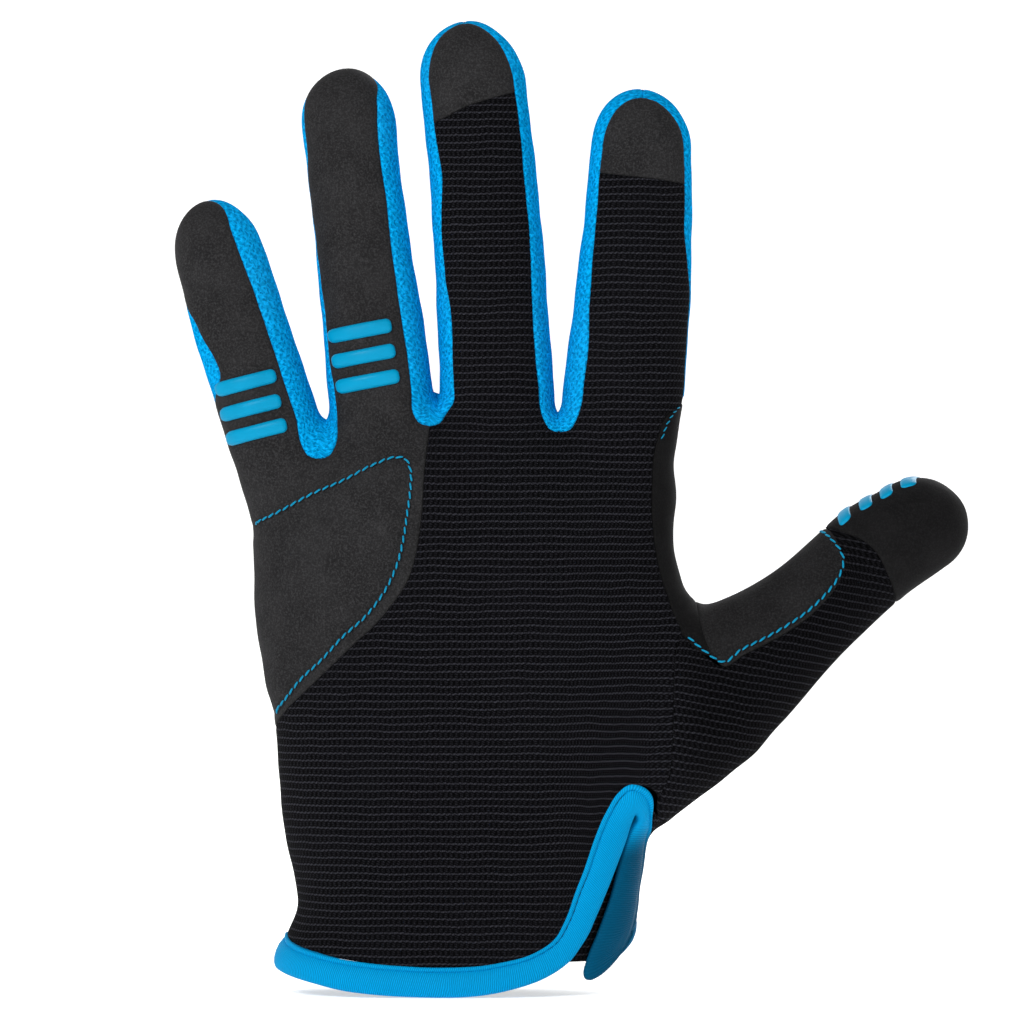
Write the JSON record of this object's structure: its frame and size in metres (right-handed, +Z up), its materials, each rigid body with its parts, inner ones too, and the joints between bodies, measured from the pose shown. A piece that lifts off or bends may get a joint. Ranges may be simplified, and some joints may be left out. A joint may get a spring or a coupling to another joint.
{
  "type": "sailing glove",
  "caption": "Left full-finger sport glove with a ribbed knit back, suede patches, mesh finger sides, raised grip bars and a bound, slit cuff; each finger bends.",
  "frame": {"origin": "centre of the cuff's opening, level with the lowest point of the hem", "axes": "+Z up along the fingers, +Y from the back of the hand to the palm, +X towards the thumb"},
  "size_m": [0.1817, 0.0442, 0.2209],
  "materials": {
    "knit": "ribbed matte",
    "suede": "napped matte",
    "foam": "matte",
    "mesh": "knitted mesh",
    "tape": "woven satin",
    "thread": "satin",
    "grip_rubber": "semi-gloss"
  },
  "bodies": {
    "hand": {"back_panel": "knit", "side_back_panel": "suede", "side_pad": "foam", "palm_panel": "suede", "palm_heel_pad": "suede", "palm_thumb_patch": "suede", "wrist_side_panel": "knit", "slit_insert": "knit", "cuff_binding": "tape", "cuff_stitching": "thread", "side_stitching": "thread", "heel_pad_stitching": "thread", "index_edge_panel": "suede", "index_edge_stitching": "thread", "thumb_base_back": "knit", "thumb_base_palm": "suede", "thumb_base_patch": "suede"},
    "index": {"index_back": "knit", "index_tip_cap": "suede", "index_palm": "suede", "index_side_inner": "mesh", "index_side_outer": "mesh"},
    "middle": {"middle_back": "knit", "middle_tip_cap": "suede", "middle_palm": "suede", "middle_side_inner": "mesh", "middle_side_outer": "mesh"},
    "ring": {"ring_back": "suede", "ring_palm": "suede", "ring_side_inner": "mesh", "ring_side_outer": "mesh", "ring_bars": "grip_rubber"},
    "pinky": {"pinky_back": "suede", "pinky_palm": "suede", "pinky_side_inner": "mesh", "pinky_side_outer": "mesh", "pinky_bars": "grip_rubber"},
    "thumb": {"thumb_back": "knit", "thumb_patch": "suede", "thumb_palm": "suede", "thumb_tip_cap": "suede", "thumb_bars": "grip_rubber", "thumb_stitching": "thread"}
  },
  "joints": [
    {"name": "index_bend", "type": "hinge", "parent": "hand", "child": "index", "pos_m": [0.0388, 0.004, 0.13697], "axis": [-0.9972, 0, 0.075], "range_deg": [0, 75]},
    {"name": "middle_bend", "type": "hinge", "parent": "hand", "child": "middle", "pos_m": [0.00967, 0.004, 0.13797], "axis": [-0.9976, 0, -0.0698], "range_deg": [0, 75]},
    {"name": "ring_bend", "type": "hinge", "parent": "hand", "child": "ring", "pos_m": [-0.01518, 0.004, 0.13592], "axis": [-0.9934, 0, -0.1149], "range_deg": [0, 75]},
    {"name": "pinky_bend", "type": "hinge", "parent": "hand", "child": "pinky", "pos_m": [-0.04175, 0.004, 0.13353], "axis": [-0.9608, 0, -0.2773], "range_deg": [0, 75]},
    {"name": "thumb_bend", "type": "hinge", "parent": "hand", "child": "thumb", "pos_m": [0.0729, 0, 0.07947], "axis": [-0.3823, -0.766, 0.5167], "range_deg": [0, 45]}
  ]
}
